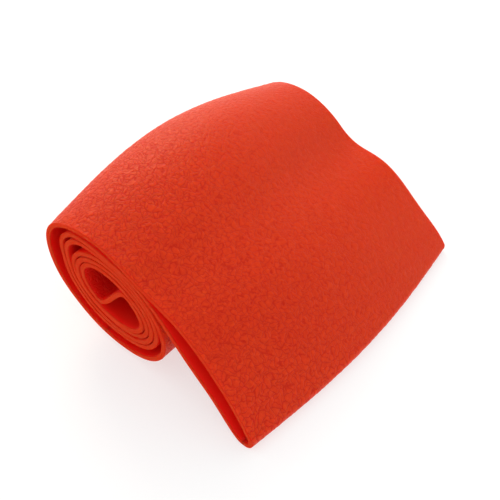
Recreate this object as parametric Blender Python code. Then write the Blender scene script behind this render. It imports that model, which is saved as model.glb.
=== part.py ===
"""Endless elastic grip band, flattened double and rolled from one fold, its outer end left as a tail.

Lengths are in millimetres. X runs from the roll to the tail, Y along the roll and Z up, with the
floor at Z = 0. A pair of values holds the near end (Y = -25) and the far end (Y = +25). One ply of
the doubled band is called the upper one, after its place in the tail, and the other the lower one.
"""

import math

import bpy
import numpy as np
from mathutils import Matrix, Vector

MM = 0.001

# The band
BAND_WIDTH = 50.0
BAND_THICK = 0.65
PIECE_GAP = 0.30

# Facets
TURN_FACETS = 24
PLY_FACETS = 12
LAP_FACETS = 2
FOLD_FACETS = 6
CORE_FACETS = 14
WIDTH_FACETS = 8

# The double spiral: the two plies wind outward together, half a turn apart
ROLL_X = (-4.75, -9.15)
ROLL_Z = (11.9, 9.0)
ROLL_TILT = (17.0, 25.0)
INNER_LONG = (6.0, 5.5)
INNER_SHORT = (4.25, 3.6)
LONG_PITCH = 1.90
SHORT_PITCH = 1.74
FIRST_TURN = -3 / TURN_FACETS
LOWER_TURNS = 56 / TURN_FACETS
UPPER_TURNS = 67 / TURN_FACETS
WRAP_SPLIT = 59 / TURN_FACETS

# The S in the middle, where one ply turns over into the other
CORE_LEAN = 70.0
CORE_REACH = 0.95
CORE_ROUND = 0.60

# The slack and the sag of the outermost wrap, and its bulge halfway along the roll, each between
# two turns
SLACK = (1.9, 0.6)
SLACK_GROWS = (1.88, 2.24)
SAG = (0.5, 0.2)
SAG_GROWS = (2.28, 2.48)
SLACK_FADES = (2.53, 2.745)
BULGE = 3.85
BULGE_SKEW = 0.22
BULGE_GROWS = (2.05, 2.48)
BULGE_FADES = (2.50, 3.00)

# The shoulder, where the turns below the outermost wrap stand off at the roll's upper left. It
# lies between two parts of a turn, and grows from the inner turns outward.
SHOULDER = (1.25, 0.0)
SHOULDER_STARTS = (0.46, 0.565)
SHOULDER_ENDS = (0.59, 0.73)
SHOULDER_GROWS = (1.10, 1.75)
SHOULDER_FADES = (2.20, 2.45)

# The tail: two plies from the roll down to the end fold
FOLD_RADIUS = (1.30, 0.60)
FOLD_X = (19.51, 19.85)
FOLD_BULGE = 2.0
FOLD_SWEEP = (123.0, 128.0)
FOLD_LAP = 0.08
UPPER_LEAVES = (8.1, 6.5)
UPPER_ARRIVES = (18.0, 12.0)
LOWER_LEAVES = (10.1, 6.0)
LOWER_ARRIVES = (1.85, 4.0)
RIPPLE = 0.8

# The line about which the tail lifts, just above the upper ply where it leaves the roll
LIFT_NEAR = (0.75, -25.0, 21.6)
LIFT_FAR = (-2.35, 25.0, 18.1)

BAND_COLOUR = (0.62, 0.036, 0.012)
INNER_COLOUR = (0.45, 0.014, 0.005)
BAND_ROUGHNESS = 0.55


def ease(share):
    """A smooth step from 0 to 1."""
    share = min(1.0, max(0.0, share))
    return share * share * (3.0 - 2.0 * share)


def between(pair, across):
    """The value in one section, from the near end (0) to the far end (1)."""
    return pair[0] + (pair[1] - pair[0]) * ease(across)


def rise(turns, edges):
    return ease((turns - edges[0]) / (edges[1] - edges[0]))


def heading(degrees):
    angle = math.radians(degrees)
    return np.array([math.cos(angle), math.sin(angle)])


def bezier(start, leave, arrive, end, share):
    rest = 1.0 - share
    near = rest**3 * start + 3 * rest**2 * share * leave
    return near + 3 * rest * share**2 * arrive + share**3 * end


def roll_axes(across):
    """The roll's centre and its long and short directions in one section."""
    tilt = between(ROLL_TILT, across)
    centre = np.array([between(ROLL_X, across), between(ROLL_Z, across)])
    return centre, heading(-tilt), heading(90.0 - tilt)


def slackness(turns, across):
    """How far the outermost wrap of the upper ply stands off the turns below it."""
    slack = between(SLACK, across) * rise(turns, SLACK_GROWS)
    slack += between(SAG, across) * rise(turns, SAG_GROWS)
    barrel = BULGE * math.sin(math.pi * across) * (1 + BULGE_SKEW * (across - 0.5))
    bulge = barrel * rise(turns, BULGE_GROWS) * (1 - rise(turns, BULGE_FADES))
    return slack * (1 - rise(turns, SLACK_FADES)) + bulge


def shoulder(turns, across, upper):
    """How far a turn stands off the one below it at the roll's upper left."""
    part = (turns if upper else turns + 0.5) % 1.0
    height = between(SHOULDER, across) * rise(part, SHOULDER_STARTS) * (1 - rise(part, SHOULDER_ENDS))
    return height * rise(turns, SHOULDER_GROWS) * (1 - rise(turns, SHOULDER_FADES))


def spiral(turns, across, upper):
    """The centreline of one ply in the roll, wound clockwise from the core."""
    off = shoulder(turns, across, upper)
    if upper:
        off += slackness(turns, across)
    long_radius = between(INNER_LONG, across) + LONG_PITCH * turns + off
    short_radius = between(INNER_SHORT, across) + SHORT_PITCH * turns + off
    spoke = heading((0.0 if upper else 180.0) - 360.0 * turns)
    centre, along, up = roll_axes(across)
    return centre + long_radius * spoke[0] * along + short_radius * spoke[1] * up


def spiral_heading(turns, across, upper):
    step = spiral(turns + 0.001, across, upper) - spiral(turns - 0.001, across, upper)
    return step / np.linalg.norm(step)


def core_half(share, across, upper):
    """Half of the S, from the roll's centre out to the first turn of one ply."""
    centre, along, up = roll_axes(across)
    reach = between(INNER_SHORT, across)
    lean = heading(CORE_LEAN) * (1.0 if upper else -1.0)
    leave = centre + CORE_REACH * reach * (lean[0] * along + lean[1] * up)
    end = spiral(FIRST_TURN, across, upper)
    arrive = end - CORE_ROUND * reach * spiral_heading(FIRST_TURN, across, upper)
    return bezier(centre, leave, arrive, end, share)


def core(share, across):
    """The whole S, from the lower ply's first turn to the upper ply's."""
    if share < 0.5:
        return core_half(1.0 - 2.0 * share, across, False)
    return core_half(2.0 * share - 1.0, across, True)


def fold(share, across):
    """The end fold, from the lower ply round to the upper one."""
    radius = between(FOLD_RADIUS, across)
    bulge = FOLD_BULGE * math.sin(math.pi * across)
    centre = np.array([between(FOLD_X, across) + bulge, BAND_THICK / 2 + radius])
    return centre + radius * heading(-90.0 + between(FOLD_SWEEP, across) * share)


def upper_ply(share, across):
    """The tail's upper ply, with the ripple that it has at the far end."""
    start = spiral(UPPER_TURNS, across, True)
    leave = start + between(UPPER_LEAVES, across) * spiral_heading(UPPER_TURNS, across, True)
    end = fold(1.0, across)
    arrive = end + between(UPPER_ARRIVES, across) * heading(between(FOLD_SWEEP, across))
    point = bezier(start, leave, arrive, end, share)
    if 0.0 < share < 1.0:
        wave = math.sin(3 * math.pi * share) * math.sqrt(math.sin(math.pi * share))
        point[1] -= RIPPLE * across**3 * wave
    return point


def lower_ply(share, across):
    start = spiral(LOWER_TURNS, across, False)
    leave = start + between(LOWER_LEAVES, across) * spiral_heading(LOWER_TURNS, across, False)
    end = fold(0.0, across)
    arrive = end - between(LOWER_ARRIVES, across) * heading(0.0)
    return bezier(start, leave, arrive, end, share)


def run(curve, first, last, facets):
    """A stretch of one curve, as the curve's value at each station."""
    return [(curve, first + (last - first) * i / facets) for i in range(facets + 1)]


def turns_run(upper, first, last):
    """A stretch of one ply in the roll."""
    def curve(turns, across):
        return spiral(turns, across, upper)
    return run(curve, first, last, round((last - first) * TURN_FACETS))


def end_fold_run():
    """The end fold with a short lap of both plies."""
    lap_start = 1.0 - FOLD_LAP
    above = run(upper_ply, lap_start, 1.0, LAP_FACETS)
    around = run(fold, 1.0, 0.0, FOLD_FACETS)
    below = run(lower_ply, 1.0, lap_start, LAP_FACETS)
    return above + around[1:-1] + below


def outward(points):
    """The unit normals on the left of a line of points."""
    steps = np.diff(points, axis=0)
    steps /= np.linalg.norm(steps, axis=1)[:, None]
    ahead = np.vstack([steps, steps[-1:]])
    behind = np.vstack([steps[:1], steps])
    mean = ahead + behind
    mean /= np.linalg.norm(mean, axis=1)[:, None]
    return np.column_stack([-mean[:, 1], mean[:, 0]])


def section(stations, across):
    """The outer face of one stretch of band, cut across the roll."""
    points = np.array([curve(value, across) for curve, value in stations])
    normals = outward(points)
    for end, inner in ((0, 1), (-1, -2)):
        step = points[inner] - points[end]
        points[end] += step * (PIECE_GAP / 2 / np.linalg.norm(step))
    points += normals * BAND_THICK / 2
    points[:, 1] = np.maximum(points[:, 1], 0.0)
    return points


def material(name, colour):
    made = bpy.data.materials.new(name)
    made.use_nodes = True
    shader = made.node_tree.nodes["Principled BSDF"]
    shader.inputs["Base Color"].default_value = (*colour, 1.0)
    shader.inputs["Roughness"].default_value = BAND_ROUGHNESS
    shader.inputs["Metallic"].default_value = 0.0
    return made


def strip(name, stations, colour, pivot=None):
    """One stretch of the band, a curved strip as wide as the roll is long."""
    vertices = []
    for row in range(WIDTH_FACETS + 1):
        across = row / WIDTH_FACETS
        y = (across - 0.5) * BAND_WIDTH
        vertices += [(x * MM, y * MM, z * MM) for x, z in section(stations, across)]
    length = len(stations)
    faces = []
    for row in range(WIDTH_FACETS):
        for column in range(length - 1):
            corner = row * length + column
            faces.append((corner, corner + 1, corner + length + 1, corner + length))
    mesh = bpy.data.meshes.new(name)
    mesh.from_pydata(vertices, [], faces)
    mesh.shade_smooth()
    made = bpy.data.objects.new(name, mesh)
    bpy.context.collection.objects.link(made)
    mesh.materials.append(material(name, colour))
    if pivot:
        mesh.transform(Matrix.Translation(-pivot.location))
        made.parent = pivot
    thickness = made.modifiers.new("thickness", "SOLIDIFY")
    thickness.thickness = BAND_THICK * MM
    thickness.offset = -1.0
    thickness.use_even_offset = True
    return made


def clear_scene():
    for old in list(bpy.data.objects):
        bpy.data.objects.remove(old, do_unlink=True)


def lift_axis():
    """An empty halfway along the line about which the tail lifts."""
    axis = bpy.data.objects.new("tail_lift_axis", None)
    bpy.context.collection.objects.link(axis)
    axis.location = (Vector(LIFT_NEAR) + Vector(LIFT_FAR)) / 2 * MM
    return axis


def build():
    clear_scene()
    strip("core_fold", run(core, 0.0, 1.0, CORE_FACETS), INNER_COLOUR)
    for ply, upper in (("lower", False), ("upper", True)):
        strip(f"inner_turn_{ply}_ply", turns_run(upper, FIRST_TURN, 1.0), INNER_COLOUR)
        strip(f"middle_turn_{ply}_ply", turns_run(upper, 1.0, 2.0), BAND_COLOUR)
    strip("outer_turn_lower_ply", turns_run(False, 2.0, LOWER_TURNS), BAND_COLOUR)
    strip("outer_wrap_bottom", turns_run(True, 2.0, WRAP_SPLIT), BAND_COLOUR)
    strip("outer_wrap_top", turns_run(True, WRAP_SPLIT, UPPER_TURNS), BAND_COLOUR)
    axis = lift_axis()
    lap_start = 1.0 - FOLD_LAP
    strip("tail_upper_ply", run(upper_ply, 0.0, lap_start, PLY_FACETS), BAND_COLOUR, axis)
    strip("tail_lower_ply", run(lower_ply, 0.0, lap_start, PLY_FACETS), BAND_COLOUR, axis)
    strip("tail_end_fold", end_fold_run(), BAND_COLOUR, axis)


build()
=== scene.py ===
"""Visual model of an endless elastic grip band, rolled double with its end fold left as a tail.

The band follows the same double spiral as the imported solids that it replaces. Its surface is a
fine grid with moulded leather grain on the loop's outer face, a smooth inner face and rounded
cut edges. Lengths are in millimetres until a mesh is made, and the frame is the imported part's:
X runs from the roll to the tail, Y along the roll and Z up, with the floor at Z = 0. A pair of
values holds the near end (lowest Y) and the far end.
"""

import math

import bpy
import numpy as np
from mathutils import Euler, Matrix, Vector

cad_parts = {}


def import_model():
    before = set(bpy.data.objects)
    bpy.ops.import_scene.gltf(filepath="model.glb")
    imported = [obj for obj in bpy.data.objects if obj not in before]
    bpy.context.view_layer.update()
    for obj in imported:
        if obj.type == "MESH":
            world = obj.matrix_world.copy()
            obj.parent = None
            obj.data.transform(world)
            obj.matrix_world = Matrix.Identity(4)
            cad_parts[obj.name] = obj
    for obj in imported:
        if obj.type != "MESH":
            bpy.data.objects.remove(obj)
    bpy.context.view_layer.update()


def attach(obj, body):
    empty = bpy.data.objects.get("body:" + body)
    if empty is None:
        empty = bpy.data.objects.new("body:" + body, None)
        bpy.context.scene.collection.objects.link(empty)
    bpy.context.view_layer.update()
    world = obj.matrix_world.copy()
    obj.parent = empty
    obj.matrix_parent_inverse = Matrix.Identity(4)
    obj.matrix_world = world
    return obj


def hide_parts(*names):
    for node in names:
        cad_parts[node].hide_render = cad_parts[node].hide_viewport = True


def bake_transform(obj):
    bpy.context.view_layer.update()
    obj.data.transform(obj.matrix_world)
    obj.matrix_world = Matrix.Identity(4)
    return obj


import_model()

MM = 0.001

# The band
NEAR_Y, FAR_Y = -25.0, 25.0
BAND_WIDTH = FAR_Y - NEAR_Y
BAND_THICK = 0.65
SKIN_THICK = 0.78
EDGE_ROUND = 0.17
FLOOR_BLEND = 0.02

# The double spiral
TURN_FACETS = 24
ROLL_X = (-4.75, -9.15)
ROLL_Z = (11.9, 9.0)
ROLL_TILT = (17.0, 25.0)
INNER_LONG = (6.0, 5.5)
INNER_SHORT = (4.25, 3.6)
LONG_PITCH = 1.90
SHORT_PITCH = 1.74
FIRST_TURN = -3 / TURN_FACETS
LOWER_TURNS = 56 / TURN_FACETS
UPPER_TURNS = 67 / TURN_FACETS

# The S in the middle, where one ply turns over into the other
CORE_LEAN = 70.0
CORE_REACH = 0.95
CORE_ROUND = 0.60

# The slack and the sag of the outermost wrap, and its bulge halfway along the roll, each between
# two turns
SLACK = (1.9, 0.6)
SLACK_GROWS = (1.88, 2.24)
SAG = (0.5, 0.2)
SAG_GROWS = (2.28, 2.48)
SLACK_FADES = (2.53, 2.745)
BULGE = 3.85
BULGE_SKEW = 0.22
BULGE_GROWS = (2.05, 2.48)
BULGE_FADES = (2.50, 3.00)

# The shoulder, where the turns below the outermost wrap stand off at the roll's upper left. It
# lies between two parts of a turn, and grows from the inner turns outward.
SHOULDER = (1.25, 0.0)
SHOULDER_STARTS = (0.46, 0.565)
SHOULDER_ENDS = (0.59, 0.73)
SHOULDER_GROWS = (1.10, 1.75)
SHOULDER_FADES = (2.20, 2.45)

# The tail: two plies from the roll down to the end fold
FOLD_RADIUS = (1.30, 0.60)
FOLD_X = (19.51, 19.85)
FOLD_BULGE = 2.0
FOLD_SWEEP = (123.0, 128.0)
UPPER_LEAVES = (8.1, 6.5)
UPPER_ARRIVES = (18.0, 12.0)
LOWER_LEAVES = (10.1, 6.0)
LOWER_ARRIVES = (1.85, 4.0)
RIPPLE = 0.8

# The turns where the meshes that hold the tail start, and where the fine stations do
BEND_FROM_UPPER = 2.25
BEND_FROM_LOWER = 2.0
FINE_FROM = 2.46

# The spacing of the stations round the loop, and the columns of faces across the band
FINE_STEP = 0.23
COARSE_STEP = 0.50
CORE_STEP = 0.30
FOLD_STEP = 0.10
LENGTH_SAMPLES = 65
FINE_COLUMNS = 216
COARSE_COLUMNS = 64
SMOOTH_COLUMNS = 40
ROUND_STEPS = 3
SHARP_ANGLE = 60.0

# Where the turns that cover each ply from outside give way, and with them the painted shade and
# bounced red light inside the roll
ALWAYS = (8.0, 9.0)
NEVER = (-9.0, -8.0)
OPENS_UPPER = (1.75, 1.95)
OPENS_LOWER = (2.20, 2.33)

# The moulded grain: cells between creases, warped by broad and fine noise, with waves over them
GRAIN_DEPTH = 0.075
GRAIN_CELL = 0.95
GRAIN_CREASE = 0.60
GRAIN_BASE = 0.22
CELL_SHARE = 0.42
WAVE_SHARE = 0.42
WAVE_SCALES = (1.5, 2.3)
WARP_CELLS = (2.1, 0.8)
WARP_SHIFTS = (0.45, 0.22)
BEYOND = 9.0

# How far the cut edges stray from straight, and over what length they do
EDGE_STRAY = 0.16
STRAY_LENGTH = 9.0

# The colours of the grained face, of the painted shade in its creases, of the painted shade and
# bounced red light on the same face inside the roll, and of the smooth face, whose deep red is
# painted bounced light
BODY_COLOURS = ((0.690, 0.042, 0.0015, 1.0), (0.720, 0.047, 0.0030, 1.0))
FAR_BODY_COLOUR = (0.60, 0.034, 0.0008, 1.0)
CREASE_SHADE_COLOUR = (0.52, 0.013, 0.0005, 1.0)
COVERED_SHADE_COLOUR = (0.76, 0.006, 0.004, 1.0)
INNER_BOUNCED_RED = (0.74, 0.012, 0.006, 1.0)
CUT_COLOURS = ((0.47, 0.024, 0.0065, 1.0), (0.54, 0.038, 0.0120, 1.0))

# Where across the band the grain and the colour change towards the far end
FADE_FROM, FADE_TO = 12.0, 42.0
FAR_STRENGTH = 0.5

# The fine creases, in noise and cells per millimetre
WARP_SCALE = 0.5
WARP_REACH = (2.3, 2.3, 0.0)
CELL_SCALE = 1.3
LINE_WIDTH = 0.15
PORE_SCALE = 1.5
TONE_SCALE = 0.09
DUST_SCALE = 9.0
MARK_SCALE = 2.5

# How far light travels inside the rubber
SCATTER_RADIUS = (1.0, 0.06, 0.03)
SCATTER_SCALE = 0.0014

# The camera, the lamp and the floor
CAMERA_PLACE = (56.95, -66.9, 94.9)
CAMERA_TURN = (44.5, 0.0, 40.8)
CAMERA_LENS = 56.8
LAMP_PLACE = (-0.32, 0.20, 0.24)
LAMP_TARGET = (0.0, 0.0, 0.01)
LAMP_SIZE = (0.22, 0.22)
LAMP_POWER = 0.95
LAMP_COLOUR = (1.0, 0.95, 0.70)
WHITE = (1.0, 1.0, 1.0, 1.0)
FLOOR_COLOUR = (0.40, 0.40, 0.40, 1.0)
FLOOR_GLOW = 0.60
FLOOR_REACH = 1.5


def ease(share):
    """A smooth step from 0 to 1."""
    share = np.clip(share, 0.0, 1.0)
    return share * share * (3.0 - 2.0 * share)


def between(pair, across):
    """The value in each section, from the near end (0) to the far end (1)."""
    return pair[0] + (pair[1] - pair[0]) * ease(across)


def rise(turns, edges):
    return ease((turns - edges[0]) / (edges[1] - edges[0]))


def heading(degrees):
    angle = np.radians(degrees)
    return np.stack([np.cos(angle), np.sin(angle)], axis=-1)


def bezier(start, leave, arrive, end, share):
    share = np.asarray(share)[..., None]
    rest = 1.0 - share
    near = rest**3 * start + 3 * rest**2 * share * leave
    return near + 3 * rest * share**2 * arrive + share**3 * end


def in_roll(along, up, across):
    """A point from its distances along the roll's long and short directions."""
    tilt = between(ROLL_TILT, across)
    centre = np.stack([between(ROLL_X, across), between(ROLL_Z, across)], axis=-1)
    return centre + along[..., None] * heading(-tilt) + up[..., None] * heading(90.0 - tilt)


def slackness(turns, across):
    """How far the outermost wrap of the upper ply stands off the turns below it."""
    slack = between(SLACK, across) * rise(turns, SLACK_GROWS)
    slack = slack + between(SAG, across) * rise(turns, SAG_GROWS)
    barrel = BULGE * np.sin(math.pi * across) * (1 + BULGE_SKEW * (across - 0.5))
    bulge = barrel * rise(turns, BULGE_GROWS) * (1 - rise(turns, BULGE_FADES))
    return slack * (1 - rise(turns, SLACK_FADES)) + bulge


def shoulder(turns, across, upper):
    """How far a turn stands off the one below it at the roll's upper left."""
    part = (turns if upper else turns + 0.5) % 1.0
    height = between(SHOULDER, across) * rise(part, SHOULDER_STARTS) * (1 - rise(part, SHOULDER_ENDS))
    return height * rise(turns, SHOULDER_GROWS) * (1 - rise(turns, SHOULDER_FADES))


def spiral(turns, across, upper):
    """The centreline of one ply in the roll, wound clockwise from the core."""
    off = shoulder(turns, across, upper)
    if upper:
        off += slackness(turns, across)
    long_radius = between(INNER_LONG, across) + LONG_PITCH * turns + off
    short_radius = between(INNER_SHORT, across) + SHORT_PITCH * turns + off
    spoke = heading((0.0 if upper else 180.0) - 360.0 * turns)
    return in_roll(long_radius * spoke[..., 0], short_radius * spoke[..., 1], across)


def spiral_heading(turns, across, upper):
    step = spiral(turns + 0.001, across, upper) - spiral(turns - 0.001, across, upper)
    return step / np.linalg.norm(step, axis=-1, keepdims=True)


def core_half(share, across, upper):
    """Half of the S, from the roll's centre out to the first turn of one ply."""
    zero = np.zeros_like(across)
    reach = between(INNER_SHORT, across)
    lean = heading(CORE_LEAN) * (1.0 if upper else -1.0) * CORE_REACH
    centre = in_roll(zero, zero, across)
    leave = in_roll(reach * lean[0], reach * lean[1], across)
    turn = FIRST_TURN + zero
    end = spiral(turn, across, upper)
    arrive = end - (CORE_ROUND * reach)[..., None] * spiral_heading(turn, across, upper)
    return bezier(centre, leave, arrive, end, share)


def fold(share, across):
    """The end fold, from the lower ply round to the upper one."""
    radius = between(FOLD_RADIUS, across)
    bulge = FOLD_BULGE * np.sin(math.pi * across)
    centre = np.stack([between(FOLD_X, across) + bulge, BAND_THICK / 2 + radius], axis=-1)
    return centre + radius[..., None] * heading(-90.0 + between(FOLD_SWEEP, across) * share)


def upper_ply(share, across):
    """The tail's upper ply, with the ripple that it has at the far end."""
    turn = np.full_like(across, UPPER_TURNS)
    start = spiral(turn, across, True)
    leaves = between(UPPER_LEAVES, across)[..., None]
    leave = start + leaves * spiral_heading(turn, across, True)
    end = fold(1.0, across)
    arrives = between(UPPER_ARRIVES, across)[..., None]
    arrive = end + arrives * heading(between(FOLD_SWEEP, across))
    point = bezier(start, leave, arrive, end, share)
    dome = np.sqrt(np.clip(np.sin(math.pi * share), 0.0, 1.0))
    point[..., 1] -= RIPPLE * across**3 * np.sin(3 * math.pi * share) * dome
    return point


def lower_ply(share, across):
    turn = np.full_like(across, LOWER_TURNS)
    start = spiral(turn, across, False)
    leaves = between(LOWER_LEAVES, across)[..., None]
    leave = start + leaves * spiral_heading(turn, across, False)
    end = fold(0.0, across)
    arrive = end - between(LOWER_ARRIVES, across)[..., None] * heading(0.0)
    return bezier(start, leave, arrive, end, share)


def stretch(curve, first, last, step):
    """The curve's value at each station of one stretch of the loop."""
    ends = np.linspace(first, last, LENGTH_SAMPLES)
    middle = np.full_like(ends, 0.5)
    length = np.linalg.norm(np.diff(curve(ends, middle), axis=0), axis=1).sum()
    count = max(2, round(length / step))
    return np.linspace(first, last, count + 1)[:-1]


def loop():
    """The closed loop from the middle of the core, out along the upper ply and back along the
    lower one: the name of the mesh that holds each stretch, its curve, the curve's values at its
    stations, and the values between which the turns that cover it give way."""
    def upper_turns(turns, across):
        return spiral(turns, across, True)

    def lower_turns(turns, across):
        return spiral(turns, across, False)

    def upper_core(share, across):
        return core_half(share, across, True)

    def lower_core(share, across):
        return core_half(share, across, False)

    return [
        ("roll_out", upper_core, stretch(upper_core, 0.0, 1.0, CORE_STEP), ALWAYS),
        ("roll_out", upper_turns, stretch(upper_turns, FIRST_TURN, BEND_FROM_UPPER, COARSE_STEP),
         OPENS_UPPER),
        ("bend_upper", upper_turns, stretch(upper_turns, BEND_FROM_UPPER, FINE_FROM, COARSE_STEP),
         NEVER),
        ("bend_upper", upper_turns, stretch(upper_turns, FINE_FROM, UPPER_TURNS, FINE_STEP), NEVER),
        ("bend_upper", upper_ply, stretch(upper_ply, 0.0, 1.0, FINE_STEP), NEVER),
        ("bend_upper", fold, stretch(fold, 1.0, 0.0, FOLD_STEP), NEVER),
        ("bend_lower", lower_ply, stretch(lower_ply, 1.0, 0.0, COARSE_STEP), NEVER),
        ("bend_lower", lower_turns, stretch(lower_turns, LOWER_TURNS, BEND_FROM_LOWER, COARSE_STEP),
         OPENS_LOWER),
        ("roll_in", lower_turns, stretch(lower_turns, BEND_FROM_LOWER, FIRST_TURN, COARSE_STEP),
         ALWAYS),
        ("roll_in", lower_core, stretch(lower_core, 1.0, 0.0, CORE_STEP), ALWAYS),
    ]


def profile(columns):
    """The band's cross-section as a closed line of points: the place across the band, the height
    over its centreline, and 1 on the grained face, -1 on the smooth one and 0 on the cut edges."""
    half, inset = SKIN_THICK / 2, EDGE_ROUND
    corner = [inset * (1 - math.cos(math.pi / 2 * i / ROUND_STEPS)) for i in range(ROUND_STEPS)]
    drop = [inset * (1 - math.sin(math.pi / 2 * i / ROUND_STEPS)) for i in range(ROUND_STEPS)]
    near = [(a, half - b, 0.0) for a, b in zip(corner, drop)]
    flat = [(a, half, 1.0) for a in np.linspace(inset, BAND_WIDTH - inset, columns + 1)]
    outer = near + flat + [(BAND_WIDTH - a, b, c) for a, b, c in reversed(near)]
    smooth = [(a, -half, -1.0) for a in np.linspace(inset, BAND_WIDTH - inset, SMOOTH_COLUMNS + 1)]
    inner = [(a, -b, 0.0) for a, b, _ in near] + smooth
    inner += [(BAND_WIDTH - a, -b, 0.0) for a, b, _ in reversed(near)]
    return np.array(outer + inner[::-1])


def scatter(column, row, salt):
    """A repeatable random number from 0 to 1 for each corner of a grid."""
    mixed = np.sin(column * 127.1 + row * 311.7 + salt * 74.7) * 43758.5453
    return mixed - np.floor(mixed)


def ripples(a, b, salt):
    """Smooth noise from about -1 to 1, from a random slope at each corner of a grid."""
    column, row = np.floor(a), np.floor(b)
    x, y = a - column, b - row

    def corner(i, j):
        angle = 2 * math.pi * scatter(column + i, row + j, salt)
        return (np.cos(angle) * (x - i) + np.sin(angle) * (y - j)) * 1.5

    low = corner(0, 0) * (1 - ease(x)) + corner(1, 0) * ease(x)
    high = corner(0, 1) * (1 - ease(x)) + corner(1, 1) * ease(x)
    return low * (1 - ease(y)) + high * ease(y)


def creases(a, b, salt):
    """0 in the creases between cells about 1 across, and 1 on top of the cells."""
    column, row = np.floor(a), np.floor(b)
    first = np.full(a.shape, BEYOND)
    second = np.full(a.shape, BEYOND)
    for i in (-1, 0, 1):
        for j in (-1, 0, 1):
            x = column + i + scatter(column + i, row + j, salt)
            y = row + j + scatter(column + i, row + j, salt + 1)
            far = np.hypot(a - x, b - y)
            second = np.minimum(second, np.maximum(far, first))
            first = np.minimum(first, far)
    return ease((second - first) / GRAIN_CREASE)


def grain(length, across):
    """The height of the leather grain, from 0 in the creases to 1."""
    def warp(salt):
        broad = ripples(length / WARP_CELLS[0], across / WARP_CELLS[0], salt)
        fine = ripples(length / WARP_CELLS[1], across / WARP_CELLS[1], salt + 1)
        return WARP_SHIFTS[0] * broad + WARP_SHIFTS[1] * fine

    a, b = (length + warp(11)) / GRAIN_CELL, (across + warp(21)) / GRAIN_CELL
    cells = creases(a, b, 31)
    broad, fine = WAVE_SCALES
    waves = ripples(broad * a, broad * b, 41) + 0.5 * ripples(fine * a, fine * b, 51)
    return np.clip(GRAIN_BASE + CELL_SHARE * cells + WAVE_SHARE * waves, 0.0, 1.0)


def surface(stations, places):
    """The centreline at each station (row) and place across (column), raised off the floor."""
    across = (places / BAND_WIDTH)[None, :]
    rows = []
    for _, curve, values, _ in stations:
        shape = (len(values), len(places))
        rows.append(curve(np.broadcast_to(values[:, None], shape).copy(),
                          np.broadcast_to(across, shape).copy()))
    flat = np.concatenate(rows)
    floor = SKIN_THICK / 2 + GRAIN_DEPTH / 2
    height = flat[..., 1]
    flat[..., 1] = (height + floor + np.sqrt((height - floor) ** 2 + FLOOR_BLEND)) / 2
    y = np.broadcast_to(NEAR_Y + places[None, :], flat.shape[:2])
    return np.stack([flat[..., 0], y, flat[..., 1]], axis=-1)


def station_lengths(stations):
    """The distance round the loop to each station and back to the first, halfway across."""
    line = surface(stations, np.array([BAND_WIDTH / 2]))[:, 0]
    steps = np.linalg.norm(np.diff(line, axis=0, append=line[:1]), axis=1)
    return np.concatenate([[0.0], np.cumsum(steps)])


def stray(length, whole):
    """How far the band lies off its straight course along the roll."""
    fade = ease(np.minimum(length, whole - length) / STRAY_LENGTH)
    return EDGE_STRAY * fade * ripples(length / STRAY_LENGTH, length * 0.0 + 0.5, 61)


def band_piece(stations, members, columns):
    """The skin of the stations that members names. It gives the cross-section, the stations'
    indices, the length round the loop to each, then for each point its position, its distance
    along and across, and the height of its grain, and for each station how far it is covered."""
    ring = profile(columns)
    places, unique = np.unique(ring[:, 0].round(6), return_inverse=True)
    sheet = surface(stations, places)
    ahead = np.roll(sheet, -1, axis=0) - np.roll(sheet, 1, axis=0)
    out = np.cross(ahead, np.gradient(sheet, places, axis=1))
    out /= np.linalg.norm(out, axis=-1, keepdims=True)
    lengths = station_lengths(stations)
    owner = np.concatenate([[piece] * len(values) for piece, _, values, _ in stations])
    held = np.flatnonzero(np.isin(owner, members))
    breaks = np.flatnonzero(np.diff(held) > 1)
    if len(breaks):
        held = np.concatenate([held[breaks[0] + 1:], held[:breaks[0] + 1]])
    rows = np.append(held, (held[-1] + 1) % len(owner))
    points = sheet[rows][:, unique]
    lift = out[rows][:, unique]
    along = np.broadcast_to(lengths[rows][:, None], points.shape[:2])
    across = np.broadcast_to(ring[None, :, 0], points.shape[:2])
    raised = grain(along, across)
    rough = (ring[None, :, 2] > 0) * GRAIN_DEPTH * (raised - 0.5)
    points = points + lift * (ring[None, :, 1] + rough)[..., None]
    points[..., 1] += stray(along, lengths[-1])
    covered = np.concatenate([1.0 - rise(values, opens) for _, _, values, opens in stations])
    return ring, rows, lengths, points, along, across, raised, covered[rows]


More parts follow.
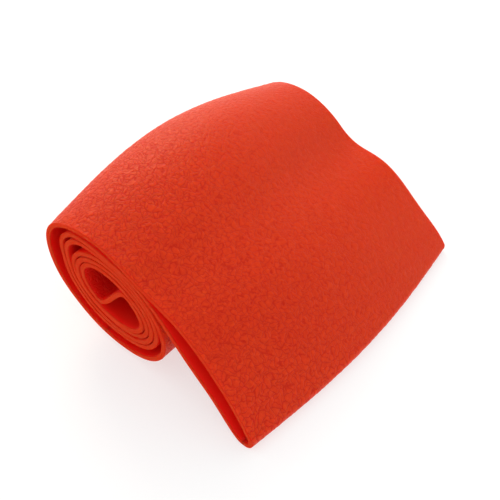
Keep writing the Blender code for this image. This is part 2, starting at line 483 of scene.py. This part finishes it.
def build_mesh(name, stations, members, columns, looks):
    """One closed mesh of band with its looks, and the length of band in it, in metres."""
    skin = band_piece(stations, members, columns)
    ring, rows, lengths, points, along, across, raised, covered = skin
    count, around = points.shape[:2]
    index = np.arange(count * around).reshape(count, around)
    nxt = np.roll(index, -1, axis=1)
    quads = np.stack([index[:-1], index[1:], nxt[1:], nxt[:-1]], axis=-1).reshape(-1, 4)
    faces = quads.tolist() + [index[0].tolist(), index[-1][::-1].tolist()]
    mesh = bpy.data.meshes.new(name)
    mesh.from_pydata((points.reshape(-1, 3) * MM).tolist(), [], faces)
    for look in looks:
        mesh.materials.append(look)
    corners = np.empty(len(mesh.loops), dtype=np.int32)
    mesh.loops.foreach_get("vertex_index", corners)
    plane = np.stack([along, across], axis=-1).reshape(-1, 2)
    layer = mesh.uv_layers.new(name="band")
    layer.data.foreach_set("uv", plane[corners].astype(np.float32).ravel())
    face = np.broadcast_to(ring[None, :, 2], points.shape[:2])
    outer = np.clip(face, 0.0, 1.0)
    cover = np.broadcast_to(covered[:, None], points.shape[:2])
    shares = {
        "grained": outer,
        # Painted shade: how deep each point of the grained face lies in a crease of the grain
        "crease_shade": outer * (1.0 - raised),
        # Painted bounced red light: 1 on the smooth face, which is given a deep red
        "inner": outer - face,
        # Painted shade and bounced red light: how far outer turns cover the grained face
        "covered": cover,
    }
    for key, values in shares.items():
        layer = mesh.attributes.new(key, "FLOAT", "POINT")
        layer.data.foreach_set("value", values.astype(np.float32).ravel())
    cut = (ring[:, 2] == 0) | (np.roll(ring[:, 2], -1) == 0)
    slots = np.append(np.tile(cut, count - 1), [False, False])
    mesh.polygons.foreach_set("material_index", slots.astype(np.int32))
    mesh.shade_smooth()
    mesh.set_sharp_from_angle(angle=math.radians(SHARP_ANGLE))
    made = bpy.data.objects.new(name, mesh)
    bpy.context.collection.objects.link(made)
    return made, np.diff(lengths)[rows[:-1]].sum() * MM


class Graph:
    """The nodes of one material, laid out over the band in millimetres."""

    def __init__(self, name):
        self.material = bpy.data.materials.new(name)
        self.material.use_nodes = True
        self.tree = self.material.node_tree
        self.shader = self.tree.nodes["Principled BSDF"]
        self.plane = self.node("UVMap", uv_map="band").outputs["UV"]

    def node(self, kind, **settings):
        new = self.tree.nodes.new("ShaderNode" + kind)
        for key, value in settings.items():
            setattr(new, key, value)
        return new

    def feed(self, socket, value):
        if isinstance(value, bpy.types.NodeSocket):
            self.tree.links.new(value, socket)
        else:
            socket.default_value = value

    def attribute(self, name):
        return self.node("Attribute", attribute_name=name).outputs["Fac"]

    def math(self, operation, first, second):
        new = self.node("Math", operation=operation)
        self.feed(new.inputs[0], first)
        self.feed(new.inputs[1], second)
        return new.outputs[0]

    def weigh(self, first, first_share, second, second_share):
        """The sum of two values, each times its share."""
        scaled = self.math("MULTIPLY", first, first_share)
        return self.math("ADD", scaled, self.math("MULTIPLY", second, second_share))

    def spread(self, value, low, high, to_low, to_high):
        new = self.node("MapRange", clamp=True)
        for place, number in enumerate((value, low, high, to_low, to_high)):
            self.feed(new.inputs[place], number)
        return new.outputs[0]

    def mix(self, share, first, second):
        """A colour from the first (share 0) to the second (share 1)."""
        new = self.node("Mix", data_type="RGBA")
        for place, value in ((0, share), (6, first), (7, second)):
            self.feed(new.inputs[place], value)
        return new.outputs[2]

    def noise(self, scale, detail=2.0):
        new = self.node("TexNoise")
        self.feed(new.inputs["Vector"], self.plane)
        self.feed(new.inputs["Scale"], scale)
        self.feed(new.inputs["Detail"], detail)
        return new.outputs["Fac"]

    def cell_lines(self):
        """1 on the lines between warped cells, and 0 inside them."""
        warp = self.node("TexNoise", noise_dimensions="2D")
        self.feed(warp.inputs["Vector"], self.plane)
        self.feed(warp.inputs["Scale"], WARP_SCALE)
        self.feed(warp.inputs["Detail"], 2.0)
        shift = self.node("VectorMath", operation="MULTIPLY_ADD")
        for place, value in enumerate((warp.outputs["Color"], WARP_REACH, self.plane)):
            self.feed(shift.inputs[place], value)
        cells = self.node("TexVoronoi", voronoi_dimensions="2D", feature="DISTANCE_TO_EDGE")
        self.feed(cells.inputs["Vector"], shift.outputs[0])
        self.feed(cells.inputs["Scale"], CELL_SCALE)
        return self.spread(cells.outputs["Distance"], 0.0, LINE_WIDTH, 1.0, 0.0)

    def bump(self, height, strength, distance):
        new = self.node("Bump")
        self.feed(new.inputs["Strength"], strength)
        self.feed(new.inputs["Distance"], distance)
        self.feed(new.inputs["Height"], height)
        self.feed(self.shader.inputs["Normal"], new.outputs[0])

    def finish(self, specular):
        """The shader's plain numbers: how strongly it shines, and how light scatters in it."""
        self.shader.inputs["Specular IOR Level"].default_value = specular
        self.shader.inputs["Subsurface Weight"].default_value = 0.8
        self.shader.inputs["Subsurface Radius"].default_value = SCATTER_RADIUS
        self.shader.inputs["Subsurface Scale"].default_value = SCATTER_SCALE
        return self.material


def rubber():
    """The band's rubber: a grained face whose creases are darkened with painted shade, and a smooth
    face. The grained face inside the roll gets painted shade and bounced red light, and the smooth
    face painted bounced red light.
    """
    graph = Graph("orange_rubber")
    split = graph.node("SeparateXYZ")
    graph.feed(split.inputs[0], graph.plane)
    across = split.outputs["Y"]
    grained = graph.attribute("grained")
    fade = graph.spread(across, FADE_FROM, FADE_TO, 1.0, FAR_STRENGTH)
    strength = graph.math("MULTIPLY", fade, grained)
    pores = graph.spread(graph.noise(PORE_SCALE, 3.0), 0.33, 0.67, 1.0, 0.0)
    # Painted shade: the grain's lines, pores and creases darken the grained face towards the crease
    # shade colour
    wrinkles = graph.weigh(graph.cell_lines(), 0.65, pores, 0.35)
    deep = graph.weigh(wrinkles, 0.90, graph.attribute("crease_shade"), 0.4)
    dark = graph.math("MULTIPLY", deep, strength)
    tone = graph.spread(graph.noise(TONE_SCALE), 0.3, 0.7, 0.0, 1.0)
    body = graph.mix(tone, *BODY_COLOURS)
    far = graph.spread(across, FADE_FROM, FADE_TO, 0.0, 0.5)
    outer = graph.mix(dark, graph.mix(far, body, FAR_BODY_COLOUR), CREASE_SHADE_COLOUR)
    # Painted shade and bounced red light on the grained face where outer turns cover it
    covered = graph.math("MULTIPLY", graph.attribute("covered"), 0.85)
    skin = graph.mix(covered, outer, COVERED_SHADE_COLOUR)
    # Painted bounced red light: the smooth face gets the deep red of light bounced between the plies
    colour = graph.mix(graph.attribute("inner"), skin, INNER_BOUNCED_RED)
    graph.feed(graph.shader.inputs["Base Color"], colour)
    graph.feed(graph.shader.inputs["Roughness"], graph.spread(dark, 0.0, 1.0, 0.38, 0.62))
    relief = graph.math("MULTIPLY", graph.math("SUBTRACT", 1.0, wrinkles), strength)
    dust = graph.math("MULTIPLY", graph.noise(DUST_SCALE), 0.15)
    graph.bump(graph.math("ADD", relief, dust), 0.8, 0.00011)
    return graph.finish(specular=0.12)


def cut_rubber():
    """The matte rubber of the cut edges, with faint marks of the blade across it."""
    graph = Graph("cut_rubber")
    marks = graph.noise(MARK_SCALE, 3.0)
    graph.feed(graph.shader.inputs["Base Color"], graph.mix(marks, *CUT_COLOURS))
    graph.feed(graph.shader.inputs["Roughness"], 0.9)
    graph.bump(marks, 0.3, 0.00002)
    return graph.finish(specular=0.0)


def aimed(thing, place, target):
    thing.location = place
    thing.rotation_euler = (Vector(target) - Vector(place)).to_track_quat("-Z", "Y").to_euler()


def lamp():
    light = bpy.data.lights.new("key", "AREA")
    light.shape = "RECTANGLE"
    light.size, light.size_y = LAMP_SIZE
    light.energy = LAMP_POWER
    light.color = LAMP_COLOUR
    made = bpy.data.objects.new("key", light)
    bpy.context.collection.objects.link(made)
    aimed(made, LAMP_PLACE, LAMP_TARGET)


def camera():
    data = bpy.data.cameras.new("camera")
    data.lens = CAMERA_LENS
    data.sensor_width = 36.0
    data.clip_start = 0.001
    made = bpy.data.objects.new("camera", data)
    bpy.context.collection.objects.link(made)
    made.location = Vector(CAMERA_PLACE) * MM
    made.rotation_euler = Euler([math.radians(angle) for angle in CAMERA_TURN])
    bpy.context.scene.camera = made


def world():
    made = bpy.data.worlds.new("studio")
    bpy.context.scene.world = made
    made.use_nodes = True
    background = made.node_tree.nodes["Background"]
    background.inputs["Color"].default_value = WHITE
    background.inputs["Strength"].default_value = 1.0


def floor():
    """A pale floor that gives off a little light."""
    mesh = bpy.data.meshes.new("floor")
    corners = [(x * FLOOR_REACH, y * FLOOR_REACH, 0) for x, y in ((-1, -1), (1, -1), (1, 1), (-1, 1))]
    mesh.from_pydata(corners, [], [(0, 1, 2, 3)])
    made = bpy.data.objects.new("floor", mesh)
    bpy.context.collection.objects.link(made)
    paint = bpy.data.materials.new("floor_paint")
    paint.use_nodes = True
    shader = paint.node_tree.nodes["Principled BSDF"]
    shader.inputs["Base Color"].default_value = FLOOR_COLOUR
    shader.inputs["Emission Color"].default_value = WHITE
    shader.inputs["Emission Strength"].default_value = FLOOR_GLOW
    shader.inputs["Roughness"].default_value = 0.8
    mesh.materials.append(paint)


bpy.context.scene.view_settings.view_transform = "Standard"
camera()
world()
lamp()
floor()

stations = loop()
looks = (rubber(), cut_rubber())
for name, members, columns in (
    ("band_rolled", ("roll_out", "roll_in"), COARSE_COLUMNS),
    ("band_top_ply", ("bend_upper",), FINE_COLUMNS),
    ("band_under_ply", ("bend_lower",), COARSE_COLUMNS),
):
    piece, length = build_mesh(name, stations, members, columns, looks)
    if name == "band_rolled":
        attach(piece, "roll")
        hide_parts("core_fold", "inner_turn_lower_ply", "inner_turn_upper_ply",
                    "middle_turn_lower_ply", "middle_turn_upper_ply", "outer_wrap_bottom")
    else:
        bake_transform(piece)
        if name == "band_top_ply":
            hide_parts("outer_wrap_top", "tail_upper_ply", "tail_end_fold")
        else:
            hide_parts("outer_turn_lower_ply", "tail_lower_ply")
